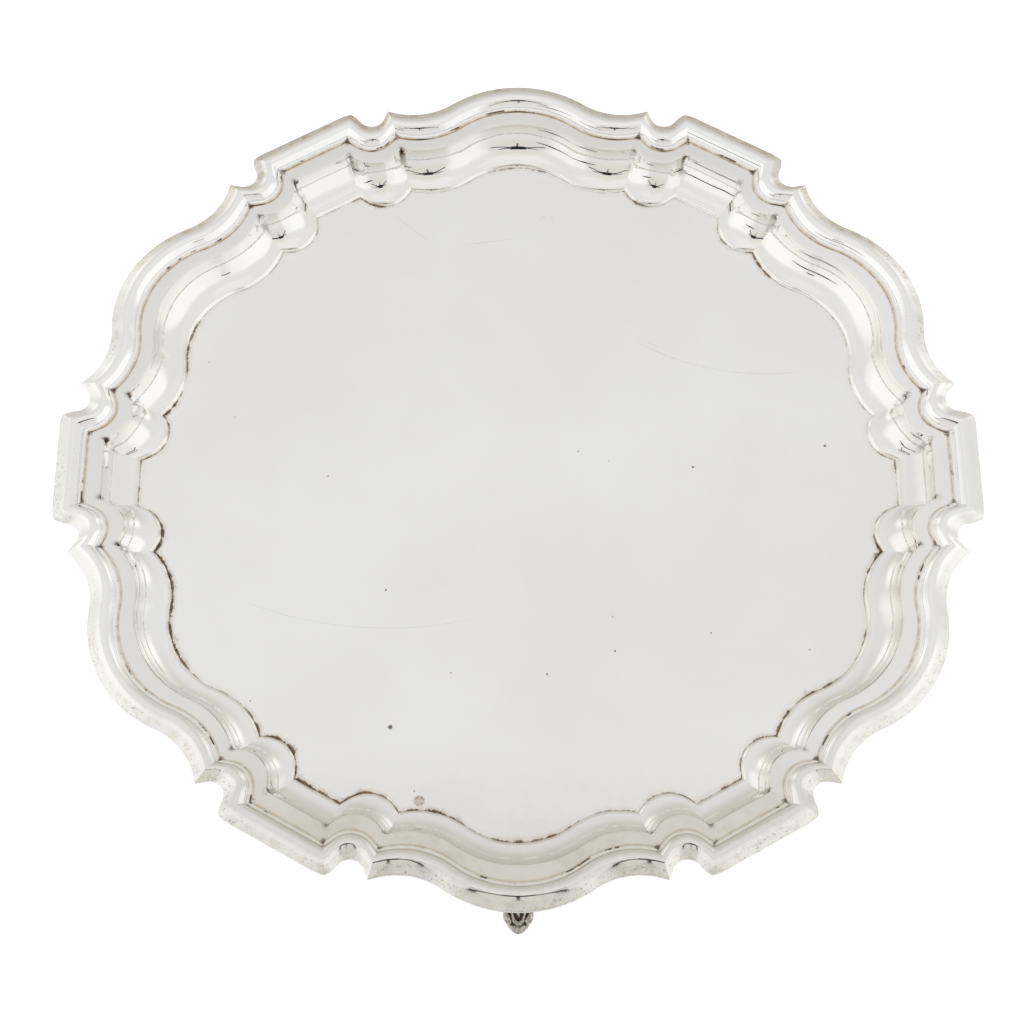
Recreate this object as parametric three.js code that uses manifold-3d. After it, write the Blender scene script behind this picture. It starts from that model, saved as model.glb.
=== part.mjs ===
// A silver salver: a flat field inside a moulded border of six straight bars and six curved
// lobes, on three cast feet. Millimetres, +Z up, z = 0 is the surface that the feet stand on,
// and the origin is at the middle of the plan.
//
// The body is raised from one sheet: the field, a small bead, a hollow cove and a level flange.
// The border moulding is cast, in lengths that lie on the flange and meet at mitred corners.
// Each foot is one casting: a fixing plate, a leg and a pad.

import * as THREE from "three";
import { mergeVertices } from "three/addons/utils/BufferGeometryUtils.js";
import Module from "manifold-3d";

const wasm = await Module();
wasm.setup();

// Heights, from the surface up.
const FLANGE_TOP = 27.5;
const FIELD_TOP = 16.7;
const SHEET = 1.0;
const GAP = 0.3;

// Plan outlines. The plan has six equal sectors, each mirrored about the middle of its bar and
// about the tip of its lobe, so an outline is given from a bar's middle (0 degrees) to a lobe's
// tip (30 degrees). bar is the distance to the straight bar and half is half its length. A notch
// with a round bottom leads from the bar's end to the cusp, and the lobe runs on from the cusp,
// through its hollow, to its tip. Angles are in degrees.
const SECTORS = 6;
const SECTOR_ANGLE = 360 / SECTORS;
const CUSP_ANGLE = 12.1;
const HOLLOW_ANGLE = 17.25;
const OUTLINES = [
  {
    bar: 126.35, half: 8.4, notchAngle: 8.5, notch: 119.0, notchRadius: 10.3,
    cusp: 122.4, hollow: 119.3, tip: 126.4,
  },
  {
    bar: 137.35, half: 11.0, notchAngle: 8.8, notch: 130.4, notchRadius: 9.4,
    cusp: 133.9, hollow: 130.2, tip: 137.4,
  },
  {
    bar: 142.8, half: 12.9, notchAngle: 9.0, notch: 135.7, notchRadius: 8.6,
    cusp: 138.7, hollow: 135.0, tip: 143.0,
  },
  {
    bar: 152.4, half: 20.0, notchAngle: 9.8, notch: 145.2, notchRadius: 4.6,
    cusp: 149.9, hollow: 145.2, tip: 152.9,
  },
];
const [FIELD_EDGE, ARRIS, CREASE, OUTER_EDGE] = OUTLINES.map((outline) => outline.bar);

// Segments along each stretch of an outline.
const NOTCH_STEPS = 4;
const HOLLOW_STEPS = 3;
const TIP_STEPS = 3;

// Border profile: distances are along the bar's own normal.
const BEAD_END = 128.2;
const BEAD_RISE = 1.3;
const BEAD_STEEP = 62;
const COVE_SHALLOW = 8;
const COVE_STEPS = 5;
const BEAD_STEPS = 2;
const FLANGE_EDGE = 151.4;

// Cast moulding, as distance and height above the flange, from its inner foot to its outer lip.
const MOULDING_FOOT = CREASE + 0.1;
const MOULDING = [
  [MOULDING_FOOT, GAP],
  [MOULDING_FOOT, 0.7],
  [144.2, 0.95],
  [145.0, 2.1],
  [145.95, 2.95],
  [147.35, 3.35],
  [148.4, 3.13],
  [150.3, 2.3],
  [152.1, 1.2],
  [OUTER_EDGE, 0.9],
  [OUTER_EDGE, GAP],
];
const MITRE_GAP = 0.15;

// Feet: radius and height of each section's middle, and its half width and half depth.
const FOOT_ANGLES = { front: 270, right_rear: 30, left_rear: 150 };
const FOOT_SECTIONS = [
  { at: 119.0, up: 14.3, wide: 6.2, deep: 1.0 },
  { at: 125.0, up: 14.0, wide: 7.6, deep: 1.9 },
  { at: 131.0, up: 13.4, wide: 7.2, deep: 3.0 },
  { at: 136.5, up: 11.4, wide: 5.6, deep: 3.2 },
  { at: 140.6, up: 8.4, wide: 4.1, deep: 2.9 },
  { at: 143.6, up: 5.2, wide: 3.9, deep: 2.7 },
  { at: 146.2, up: 2.9, wide: 4.7, deep: 2.9 },
  { at: 148.6, up: 2.0, wide: 3.8, deep: 2.4 },
  { at: 150.3, up: 1.7, wide: 2.2, deep: 1.5 },
  { at: 150.9, up: 1.7, wide: 0.9, deep: 0.8 },
];
const FOOT_SIDES = 16;
const FOOT_SQUARENESS = 2.4;
const FIXING_PLATE = { from: 112, to: 126, halfWidth: 9, thick: 1.3, corner: 3 };

const silver = { color: 0xdcdad4, roughness: 0.16, metalness: 1 };
const castSilver = { color: 0xcfccc3, roughness: 0.24, metalness: 1 };
const darkSilver = { color: 0xa39d92, roughness: 0.34, metalness: 1 };

function radians(degrees) {
  return THREE.MathUtils.degToRad(degrees);
}

function polar(degrees, radius) {
  return new THREE.Vector2(Math.cos(radians(degrees)), Math.sin(radians(degrees))).multiplyScalar(radius);
}

// Mirror a plan point about the line through the origin at an angle.
function mirror(point, degrees) {
  const axis = polar(degrees, 1);
  return axis.multiplyScalar(2 * point.dot(axis)).sub(point);
}

// The outline at any distance between the named ones, by straight lines between them.
function outlineAt(distance) {
  const last = OUTLINES.length - 2;
  const below = OUTLINES.findIndex((outline, index) => index === last || distance < OUTLINES[index + 1].bar);
  const from = OUTLINES[below];
  const to = OUTLINES[below + 1];
  const share = (distance - from.bar) / (to.bar - from.bar);
  const result = {};
  for (const name of Object.keys(from)) {
    result[name] = THREE.MathUtils.lerp(from[name], to[name], share);
  }
  return result;
}

// Where a straight line from a point touches a circle, on the side nearer the origin.
function tangentPoint(point, centre, radius) {
  const toward = point.clone().sub(centre);
  const spread = Math.acos(Math.min(1, radius / toward.length()));
  const touches = [spread, -spread].map((turn) =>
    toward.clone().rotateAround(new THREE.Vector2(), turn).setLength(radius).add(centre));
  return touches[0].length() < touches[1].length() ? touches[0] : touches[1];
}

// Points on the arc from one point to another about a centre, the short way round.
function arcPoints(from, to, centre, steps) {
  const start = from.clone().sub(centre);
  const end = to.clone().sub(centre);
  let sweep = end.angle() - start.angle();
  sweep -= 2 * Math.PI * Math.round(sweep / (2 * Math.PI));
  const points = [];
  for (let step = 0; step <= steps; step += 1) {
    points.push(start.clone().rotateAround(new THREE.Vector2(), (sweep * step) / steps).add(centre));
  }
  return points;
}

// The notch: a straight run in, a round bottom and a straight run out to the cusp.
function notchPoints(outline) {
  const end = new THREE.Vector2(outline.bar, outline.half);
  const cusp = polar(CUSP_ANGLE, outline.cusp);
  const centre = polar(outline.notchAngle, outline.notch + outline.notchRadius);
  const inward = tangentPoint(end, centre, outline.notchRadius);
  const outward = tangentPoint(cusp, centre, outline.notchRadius);
  return [end, ...arcPoints(inward, outward, centre, NOTCH_STEPS), cusp];
}

// Half a lobe: an arc through the cusp that is level at the hollow, then one about the tip that
// meets it without a corner.
function halfLobePoints(outline) {
  const cusp = polar(CUSP_ANGLE, outline.cusp);
  const run = outline.cusp * Math.cos(radians(HOLLOW_ANGLE - CUSP_ANGLE));
  const chord = cusp.distanceTo(polar(HOLLOW_ANGLE, outline.hollow));
  const hollowRadius = chord ** 2 / (2 * (run - outline.hollow));
  const hollowCentre = polar(HOLLOW_ANGLE, outline.hollow + hollowRadius);
  const reach = hollowRadius + outline.tip;
  const across = hollowCentre.dot(polar(SECTOR_ANGLE / 2, 1));
  const tipRun = (reach ** 2 - hollowCentre.lengthSq()) / (2 * (reach - across));
  const tipCentre = polar(SECTOR_ANGLE / 2, tipRun);
  const join = tipCentre.clone().sub(hollowCentre).setLength(hollowRadius).add(hollowCentre);
  const tip = polar(SECTOR_ANGLE / 2, outline.tip);
  const hollow = arcPoints(cusp, join, hollowCentre, HOLLOW_STEPS);
  return [...hollow, ...arcPoints(join, tip, tipCentre, TIP_STEPS).slice(1)];
}

// The four stretches of one sector, in order anticlockwise.
function sectorStretches(distance, sector) {
  const outline = outlineAt(distance);
  const end = new THREE.Vector2(outline.bar, outline.half);
  const notch = notchPoints(outline);
  const half = halfLobePoints(outline);
  const lobe = [...half, ...half.slice(0, -1).reverse().map((point) => mirror(point, SECTOR_ANGLE / 2))];
  const farNotch = notch.slice().reverse().map((point) => mirror(point, SECTOR_ANGLE / 2));
  const stretches = { bar: [mirror(end, 0), end], notch, lobe, farNotch };
  const turn = radians(SECTOR_ANGLE * sector);
  for (const points of Object.values(stretches)) {
    points.forEach((point) => point.rotateAround(new THREE.Vector2(), turn));
  }
  return stretches;
}

// The whole outline at a distance, as a closed ring at a height.
function ring(distance, height) {
  const points = [];
  for (let sector = 0; sector < SECTORS; sector += 1) {
    for (const stretch of Object.values(sectorStretches(distance, sector))) {
      points.push(...stretch.slice(0, -1));
    }
  }
  return points.map((point) => new THREE.Vector3(point.x, point.y, height));
}

// Points of a profile arc whose slope goes steadily from one angle to another.
function slopeArc(from, to, startSlope, steps) {
  const rise = to[1] - from[1];
  const run = to[0] - from[0];
  const start = radians(startSlope);
  const end = 2 * Math.atan2(rise, run) - start;
  const radius = run / (Math.sin(end) - Math.sin(start));
  const points = [];
  for (let step = 0; step <= steps; step += 1) {
    const slope = start + ((end - start) * step) / steps;
    const out = from[0] + radius * (Math.sin(slope) - Math.sin(start));
    points.push([out, from[1] + radius * (Math.cos(start) - Math.cos(slope))]);
  }
  return { points, radius, start, end };
}

// A closed surface through sections that all have the same number of points. The face is the
// first section laid flat, and gives the triangles that close both ends.
function loft(sections, face) {
  const capTriangles = THREE.ShapeUtils.triangulateShape(face, []);
  if (THREE.ShapeUtils.isClockWise(face)) {
    capTriangles.forEach((triangle) => triangle.reverse());
  }
  const width = sections[0].length;
  const positions = sections.flat().flatMap((point) => point.toArray());
  const indices = [];
  for (let row = 0; row < sections.length - 1; row += 1) {
    for (let column = 0; column < width; column += 1) {
      const here = row * width + column;
      const next = row * width + ((column + 1) % width);
      indices.push(here, next, next + width, here, next + width, here + width);
    }
  }
  const lastRow = (sections.length - 1) * width;
  for (const [a, b, c] of capTriangles) {
    indices.push(c, b, a, lastRow + a, lastRow + b, lastRow + c);
  }
  const geometry = new THREE.BufferGeometry();
  geometry.setAttribute("position", new THREE.Float32BufferAttribute(positions, 3));
  geometry.setIndex(indices);
  return faceOut(geometry);
}

// Turn the triangles over where they face in.
function faceOut(geometry) {
  const position = geometry.getAttribute("position");
  const corners = [new THREE.Vector3(), new THREE.Vector3(), new THREE.Vector3()];
  const indices = Array.from(geometry.index.array);
  let volume = 0;
  for (let at = 0; at < indices.length; at += 3) {
    corners.forEach((corner, side) => corner.fromBufferAttribute(position, indices[at + side]));
    volume += corners[0].dot(corners[1].clone().cross(corners[2]));
  }
  if (volume < 0) {
    indices.reverse();
  }
  geometry.setIndex(indices);
  geometry.computeVertexNormals();
  return geometry;
}

// The raised sheet, from the field's edge out over the flange and back underneath.
function bodyGeometry() {
  const beadTop = [BEAD_END, FIELD_TOP + BEAD_RISE];
  const bead = slopeArc([FIELD_EDGE, FIELD_TOP], beadTop, BEAD_STEEP, BEAD_STEPS);
  const cove = slopeArc(beadTop, [ARRIS, FLANGE_TOP], COVE_SHALLOW, COVE_STEPS);
  const top = [...bead.points, ...cove.points.slice(1), [FLANGE_EDGE, FLANGE_TOP]];
  // The back of the cove is an arc about the same centre, up to the flange's underside.
  const flangeBottom = FLANGE_TOP - SHEET;
  const centre = [
    beadTop[0] - cove.radius * Math.sin(cove.start),
    beadTop[1] + cove.radius * Math.cos(cove.start),
  ];
  const backRadius = cove.radius + SHEET;
  const backEnd = Math.acos((centre[1] - flangeBottom) / backRadius);
  const back = [];
  for (let step = 0; step <= COVE_STEPS; step += 1) {
    const slope = THREE.MathUtils.lerp(backEnd, cove.start, step / COVE_STEPS);
    back.push([centre[0] + backRadius * Math.sin(slope), centre[1] - backRadius * Math.cos(slope)]);
  }
  const profile = [...top, [FLANGE_EDGE, flangeBottom], ...back, [FIELD_EDGE, FIELD_TOP - SHEET]];
  const sections = profile.map(([distance, height]) => ring(distance, height));
  const flat = sections[0].map((point) => new THREE.Vector2(point.x, point.y));
  return loft(sections, flat);
}

// A line of plan points, drawn back a little at both ends.
function drawnBack(plan) {
  const last = plan.length - 1;
  const drawn = plan.map((point) => point.clone());
  drawn[0].lerp(plan[1], MITRE_GAP / plan[0].distanceTo(plan[1]));
  drawn[last].lerp(plan[last - 1], MITRE_GAP / plan[last].distanceTo(plan[last - 1]));
  return drawn;
}

// One length of moulding along one stretch of the outline, short of the mitre at both ends.
function mouldingGeometry(stretchName, sector) {
  const lines = MOULDING.map(([distance, height]) => {
    const plan = drawnBack(sectorStretches(distance, sector)[stretchName]);
    return plan.map((point) => new THREE.Vector3(point.x, point.y, FLANGE_TOP + height));
  });
  const sections = lines[0].map((_, station) => lines.map((line) => line[station]));
  const face = MOULDING.map(([distance, height]) => new THREE.Vector2(distance, height));
  return loft(sections, face);
}

function toManifold(geometry) {
  const bare = geometry.clone();
  bare.deleteAttribute("normal");
  bare.deleteAttribute("uv");
  const merged = mergeVertices(bare);
  const vertProperties = Float32Array.from(merged.getAttribute("position").array);
  const triVerts = Uint32Array.from(merged.index.array);
  return new wasm.Manifold(new wasm.Mesh({ numProp: 3, vertProperties, triVerts }));
}

function fromManifold(solid) {
  const mesh = solid.getMesh();
  const geometry = new THREE.BufferGeometry();
  geometry.setAttribute("position", new THREE.Float32BufferAttribute(mesh.vertProperties, 3));
  geometry.setIndex(Array.from(mesh.triVerts));
  geometry.computeVertexNormals();
  return geometry;
}

// A rounded square section, level across the foot and square to the leg's line.
function footSection(section, slope) {
  const points = [];
  for (let side = 0; side < FOOT_SIDES; side += 1) {
    const angle = (2 * Math.PI * side) / FOOT_SIDES;
    const power = 2 / FOOT_SQUARENESS;
    const across = section.wide * Math.sign(Math.cos(angle)) * Math.abs(Math.cos(angle)) ** power;
    const over = section.deep * Math.sign(Math.sin(angle)) * Math.abs(Math.sin(angle)) ** power;
    points.push(new THREE.Vector3(
      section.at - over * Math.sin(slope), across, section.up + over * Math.cos(slope)));
  }
  return points;
}

// A foot as cast, standing on the +X side: the leg and its pad, joined to a plate that lies
// under the field, and cut level with the surface it stands on.
function footGeometry() {
  const middles = FOOT_SECTIONS.map((section) => new THREE.Vector2(section.at, section.up));
  const sections = FOOT_SECTIONS.map((section, index) => {
    const before = middles[Math.max(index - 1, 0)];
    const after = middles[Math.min(index + 1, middles.length - 1)];
    return footSection(section, Math.atan2(after.y - before.y, after.x - before.x));
  });
  const face = sections[0].map((point) => new THREE.Vector2(point.y, point.z));
  const leg = loft(sections, face);

  const plateTop = FIELD_TOP - SHEET - GAP;
  const { from, to, halfWidth, thick, corner } = FIXING_PLATE;
  const shape = new THREE.Shape();
  shape.moveTo(from + corner, -halfWidth + corner);
  shape.lineTo(to, -halfWidth);
  shape.lineTo(to, halfWidth);
  shape.lineTo(from + corner, halfWidth - corner);
  shape.quadraticCurveTo(from - corner, 0, from + corner, -halfWidth + corner);
  const plate = new THREE.ExtrudeGeometry(shape, { depth: thick, bevelEnabled: false, curveSegments: 6 });
  plate.translate(0, 0, plateTop - thick);

  // The room between the surface that the foot stands on and the underside of the field.
  const room = new THREE.BoxGeometry(2 * OUTER_EDGE, 2 * OUTER_EDGE, plateTop);
  room.translate(0, 0, plateTop / 2);
  return fromManifold(toManifold(leg).add(toManifold(plate)).intersect(toManifold(room)));
}

function piece(name, geometry, finish) {
  const mesh = new THREE.Mesh(geometry, new THREE.MeshStandardMaterial(finish));
  mesh.name = name;
  return mesh;
}

const salver = new THREE.Group();
salver.add(piece("salver_body", bodyGeometry(), silver));

for (let sector = 0; sector < SECTORS; sector += 1) {
  const number = sector + 1;
  salver.add(piece(`border_bar_${number}`, mouldingGeometry("bar", sector), castSilver));
  salver.add(piece(`border_lobe_${number}`, mouldingGeometry("lobe", sector), castSilver));
  salver.add(piece(`border_notch_${number}_near`, mouldingGeometry("notch", sector), castSilver));
  salver.add(piece(`border_notch_${number}_far`, mouldingGeometry("farNotch", sector), castSilver));
}

for (const [place, angle] of Object.entries(FOOT_ANGLES)) {
  const foot = piece(`foot_${place}`, footGeometry(), darkSilver);
  foot.rotation.z = radians(angle);
  salver.add(foot);
}

export default salver;
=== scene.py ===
import math

import bmesh
import bpy
import numpy as np
from mathutils import Matrix, Vector


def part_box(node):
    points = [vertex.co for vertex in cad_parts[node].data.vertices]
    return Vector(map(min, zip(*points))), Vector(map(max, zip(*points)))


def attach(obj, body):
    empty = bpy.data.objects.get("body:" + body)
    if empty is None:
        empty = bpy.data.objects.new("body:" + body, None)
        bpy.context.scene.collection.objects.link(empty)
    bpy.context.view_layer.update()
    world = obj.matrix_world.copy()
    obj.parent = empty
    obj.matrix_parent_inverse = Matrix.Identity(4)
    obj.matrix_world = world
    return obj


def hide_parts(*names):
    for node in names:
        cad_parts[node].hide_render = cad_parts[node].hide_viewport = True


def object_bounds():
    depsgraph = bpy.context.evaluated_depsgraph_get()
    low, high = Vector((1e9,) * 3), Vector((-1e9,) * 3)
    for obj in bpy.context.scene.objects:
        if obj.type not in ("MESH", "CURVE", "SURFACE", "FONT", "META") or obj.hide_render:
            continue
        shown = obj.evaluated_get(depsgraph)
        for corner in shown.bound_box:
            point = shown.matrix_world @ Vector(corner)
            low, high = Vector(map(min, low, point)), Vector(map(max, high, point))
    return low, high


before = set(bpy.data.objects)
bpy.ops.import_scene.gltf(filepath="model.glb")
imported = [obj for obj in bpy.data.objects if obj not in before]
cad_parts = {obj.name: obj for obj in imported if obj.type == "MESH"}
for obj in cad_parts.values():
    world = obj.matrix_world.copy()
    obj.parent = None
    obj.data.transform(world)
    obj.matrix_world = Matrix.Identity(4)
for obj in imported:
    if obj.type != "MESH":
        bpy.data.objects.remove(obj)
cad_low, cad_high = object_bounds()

# The salver's looks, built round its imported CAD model. The plan and the profiles below are in
# millimetres, as the real object's are; MM turns them into Blender's metres.
MM = 0.001

# ---------------------------------------------------------------- heights, from the frame
SHEET = 1.0
body_low, body_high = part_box("salver_body")
FLANGE_TOP = body_high.z / MM
FIELD_TOP = body_low.z / MM + SHEET
FLANGE_EDGE = body_high.x / MM
OUTER_EDGE = cad_high.x / MM
CREST_RISE = cad_high.z / MM - FLANGE_TOP

# ---------------------------------------------------------------- plan outlines
# An outline is given from a bar's middle (0 degrees) to a lobe's tip (30 degrees), and the plan
# repeats it mirrored, six times round. A notch leads from the bar's end to the cusp, and the
# lobe runs on from the cusp, through its hollow, to its tip.
SECTORS = 6
SECTOR_ANGLE = 360 / SECTORS
TIP_ANGLE = SECTOR_ANGLE / 2
CUSP_ANGLE = 12.1
HOLLOW_ANGLE = 17.25
OUTLINE_KEYS = ("bar", "half", "notch_angle", "notch", "notch_radius", "cusp", "hollow", "tip")
OUTLINES = np.array([
    (126.35, 8.4, 8.5, 119.0, 10.3, 122.4, 119.3, 126.4),
    (137.35, 11.0, 8.8, 130.4, 9.4, 133.9, 130.2, 137.4),
    (142.80, 12.9, 9.0, 135.7, 8.6, 138.7, 135.0, 143.0),
    (152.40, 20.0, 9.8, 145.2, 4.6, 149.9, 145.2, 152.9),
])
FIELD_EDGE, ARRIS, CREASE = OUTLINES[:3, 0]

# Segments along the stretches of an outline.
BAR_STEPS = 10
FLARE_STEPS = 6
NOTCH_STEPS = 16
HOLLOW_STEPS = 16
TIP_STEPS = 16


def outline_at(distance):
    """The outline's key values at a distance, by straight lines between the named ones."""
    values = [np.interp(distance, OUTLINES[:, 0], column) for column in OUTLINES.T]
    return dict(zip(OUTLINE_KEYS, values))


def polar(degrees, radius):
    angle = math.radians(degrees)
    return np.array([math.cos(angle), math.sin(angle)]) * radius


def mirrored(points, degrees):
    """Plan points mirrored about the line through the origin at an angle."""
    axis = polar(degrees, 1)
    return 2 * (points @ axis)[:, None] * axis - points


def turned(points, degrees):
    angle = math.radians(degrees)
    turn = np.array([[math.cos(angle), -math.sin(angle)], [math.sin(angle), math.cos(angle)]])
    return points @ turn.T


def run_along(points):
    steps = np.hypot(*np.diff(points, axis=0).T)
    return np.concatenate([[0], np.cumsum(steps)])


def straight(start, end, steps):
    return start + (end - start) * np.linspace(0, 1, steps + 1)[:, None]


def arc(start, end, centre, steps):
    """Points from start to end round a centre, the short way."""
    first = start - centre
    last = end - centre
    sweep = math.atan2(last[1], last[0]) - math.atan2(first[1], first[0])
    sweep -= 2 * math.pi * round(sweep / (2 * math.pi))
    turns = [math.degrees(sweep * step / steps) for step in range(steps + 1)]
    return np.array([turned(first[None], turn)[0] for turn in turns]) + centre


def tangent_point(point, centre, radius):
    """Where a line from a point touches a circle, on the side nearer the origin."""
    toward = point - centre
    reach = np.hypot(*toward)
    spread = math.degrees(math.acos(min(1.0, radius / reach)))
    touches = [centre + turned(toward[None] / reach * radius, turn)[0] for turn in (spread, -spread)]
    return min(touches, key=lambda touch: np.hypot(*touch))


# The bars' outer corners are worn round. From WEAR_START outward the wear grows over WEAR_SPREAD
# to CORNER_WEAR, and it fades over CORNER_REACH along the edge. CORNER_STEPS are the distances
# of the bar's points from its corner.
CORNER_WEAR = 0.95
WEAR_START = 148.5
WEAR_SPREAD = 3
CORNER_REACH = 4.5
CORNER_STEPS = (0, 0.2, 0.45, 0.8, 1.25, 1.8, 2.6, 3.6, 4.8)


def worn_corner(points, distance, at_start, inward):
    """The points with the bar corner at one end worn back, most at the corner itself."""
    order = 1 if at_start else -1
    along = run_along(points[::order])[::order]
    wear = CORNER_WEAR * np.clip((distance - WEAR_START) / WEAR_SPREAD, 0, 1)
    share = np.clip(1 - along / CORNER_REACH, 0, 1) ** 2
    return points + inward * (wear * share)[:, None]


def stretches(distance):
    """The bar, near notch, lobe and far notch of the first sector, anticlockwise."""
    key = outline_at(distance)
    end = np.array([key["bar"], key["half"]])
    cusp = polar(CUSP_ANGLE, key["cusp"])
    centre = polar(key["notch_angle"], key["notch"] + key["notch_radius"])
    first = tangent_point(end, centre, key["notch_radius"])
    last = tangent_point(cusp, centre, key["notch_radius"])
    notch = np.vstack([
        straight(end, first, FLARE_STEPS)[:-1],
        arc(first, last, centre, NOTCH_STEPS)[:-1],
        straight(last, cusp, FLARE_STEPS),
    ])

    run = key["cusp"] * math.cos(math.radians(HOLLOW_ANGLE - CUSP_ANGLE))
    chord = np.hypot(*(cusp - polar(HOLLOW_ANGLE, key["hollow"])))
    hollow_radius = chord ** 2 / (2 * (run - key["hollow"]))
    hollow_centre = polar(HOLLOW_ANGLE, key["hollow"] + hollow_radius)
    tip_reach = hollow_radius + key["tip"]
    across = hollow_centre @ polar(TIP_ANGLE, 1)
    tip_out = (tip_reach ** 2 - hollow_centre @ hollow_centre) / (2 * (tip_reach - across))
    tip_centre = polar(TIP_ANGLE, tip_out)
    between = tip_centre - hollow_centre
    join = hollow_centre + between / np.hypot(*between) * hollow_radius
    half_lobe = np.vstack([
        arc(cusp, join, hollow_centre, HOLLOW_STEPS)[:-1],
        arc(join, polar(TIP_ANGLE, key["tip"]), tip_centre, TIP_STEPS),
    ])
    inward = first - end
    inward = inward / np.hypot(*inward) + (0, -1)
    inward /= np.hypot(*inward)
    offsets = np.array(CORNER_STEPS)
    middle = np.linspace(-1, 1, BAR_STEPS + 1)[1:-1] * (end[1] - offsets[-1])
    heights = np.concatenate([-end[1] + offsets, middle, end[1] - offsets[::-1]])
    bar = np.column_stack([np.full(len(heights), end[0]), heights])
    bar = worn_corner(bar, distance, False, inward)
    bar = worn_corner(bar, distance, True, inward * (1, -1))
    notch = worn_corner(notch, distance, True, inward)
    return {
        "bar": bar,
        "notch_near": notch,
        "lobe": np.vstack([half_lobe, mirrored(half_lobe[:-1][::-1], TIP_ANGLE)]),
        "notch_far": mirrored(notch[::-1], TIP_ANGLE),
    }


def whole_outline(distance):
    """The whole closed outline, and each point's run from the nearest corner along it."""
    plan = []
    from_corner = []
    for points in stretches(distance).values():
        along = run_along(points)
        plan.append(points[:-1])
        from_corner.append(np.minimum(along, along[-1] - along)[:-1])
    plan = np.vstack(plan)
    ring = np.vstack([turned(plan, SECTOR_ANGLE * sector) for sector in range(SECTORS)])
    return ring, np.tile(np.concatenate(from_corner), SECTORS)


# ---------------------------------------------------------------- profiles
# Profiles are (distance along a bar's normal, height above the flange's top).
BEAD_END = 128.2
BEAD_RISE = 1.3
BEAD_STEEP = 62
COVE_SHALLOW = 8
ARRIS_ROUND = 0.3
FLANGE_STEPS = 8
FIELD_LEVEL = FIELD_TOP - FLANGE_TOP


def slope_arc(start, end, start_slope, steps):
    """A profile arc whose slope goes steadily from one angle to another, and its last slope."""
    run = end[0] - start[0]
    rise = end[1] - start[1]
    first = math.radians(start_slope)
    last = 2 * math.atan2(rise, run) - first
    radius = run / (math.sin(last) - math.sin(first))
    slopes = np.linspace(first, last, steps + 1)
    points = np.column_stack([
        start[0] + radius * (np.sin(slopes) - math.sin(first)),
        start[1] + radius * (math.cos(first) - np.cos(slopes)),
    ])
    return points, math.degrees(last), radius


def sheet_profile():
    """The raised sheet's profile, from the field's edge out over the flange and back below."""
    bead_top = (BEAD_END, FIELD_LEVEL + BEAD_RISE)
    bead = slope_arc((FIELD_EDGE, FIELD_LEVEL), bead_top, BEAD_STEEP, 10)[0]
    cove_top = (ARRIS, -ARRIS_ROUND)
    cove, steep, radius = slope_arc(bead_top, cove_top, COVE_SHALLOW, 30)
    shoulder = slope_arc(cove_top, (ARRIS + ARRIS_ROUND, 0), steep, 4)[0]
    flange = straight(np.array([ARRIS + ARRIS_ROUND, 0]), np.array([FLANGE_EDGE, 0]), FLANGE_STEPS)

    first = math.radians(COVE_SHALLOW)
    centre = (bead_top[0] - radius * math.sin(first), bead_top[1] + radius * math.cos(first))
    back_radius = radius + SHEET
    slopes = np.linspace(math.acos((centre[1] + SHEET) / back_radius), first, 20)
    back = np.column_stack([
        centre[0] + back_radius * np.sin(slopes),
        centre[1] - back_radius * np.cos(slopes),
    ])
    top = np.vstack([bead, cove[1:], shoulder[1:], flange[1:]])
    below = np.vstack([[FLANGE_EDGE, -SHEET], back, [FIELD_EDGE, FIELD_LEVEL - SHEET]])
    return top, below


def moulding_profile():
    """The cast moulding's closed profile, anticlockwise from its inner foot."""
    fillet_edge = 0.5
    quirk = (144.1, 0.75)
    shoulder = (145.93, CREST_RISE - 0.42)
    crest = (147.35, CREST_RISE)
    brow = (148.45, CREST_RISE - 0.245)
    lip = (152.1, 1.2)
    foot = CREASE + 0.05
    fillet_start = (CREASE + 0.17, fillet_edge)
    inner = np.array([(foot, -0.02), (foot, fillet_edge - 0.12), fillet_start])
    fillet = straight(np.array(fillet_start), np.array(quirk), 3)[1:]
    slope, steep, _ = slope_arc(quirk, shoulder, 67, 10)
    top = slope_arc(shoulder, crest, steep, 6)[0]
    over = slope_arc(crest, brow, 0, 4)[0]
    face = slope_arc(brow, lip, -25, 12)[0]
    edge = np.array([(152.3, 1.12), (OUTER_EDGE, 0.9), (OUTER_EDGE, 0.3), (152.3, 0.06), (152.1, -0.02)])
    return np.vstack([inner, fillet, slope[1:], top[1:], over[1:], face[1:], edge])


# ---------------------------------------------------------------- meshes
def tube_faces(count, width, base=0):
    """Faces through count closed rows of width points, with a flat face at both ends."""
    faces = []
    for row in range(count - 1):
        for column in range(width):
            here = base + row * width + column
            side = base + row * width + (column + 1) % width
            faces.append((here, side, side + width, here + width))
    faces.append(tuple(range(base, base + width))[::-1])
    faces.append(tuple(range(base + (count - 1) * width, base + count * width)))
    return faces


def face_outward(mesh):
    bm = bmesh.new()
    bm.from_mesh(mesh)
    bmesh.ops.recalc_face_normals(bm, faces=bm.faces)
    bm.to_mesh(mesh)
    bm.free()


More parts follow.
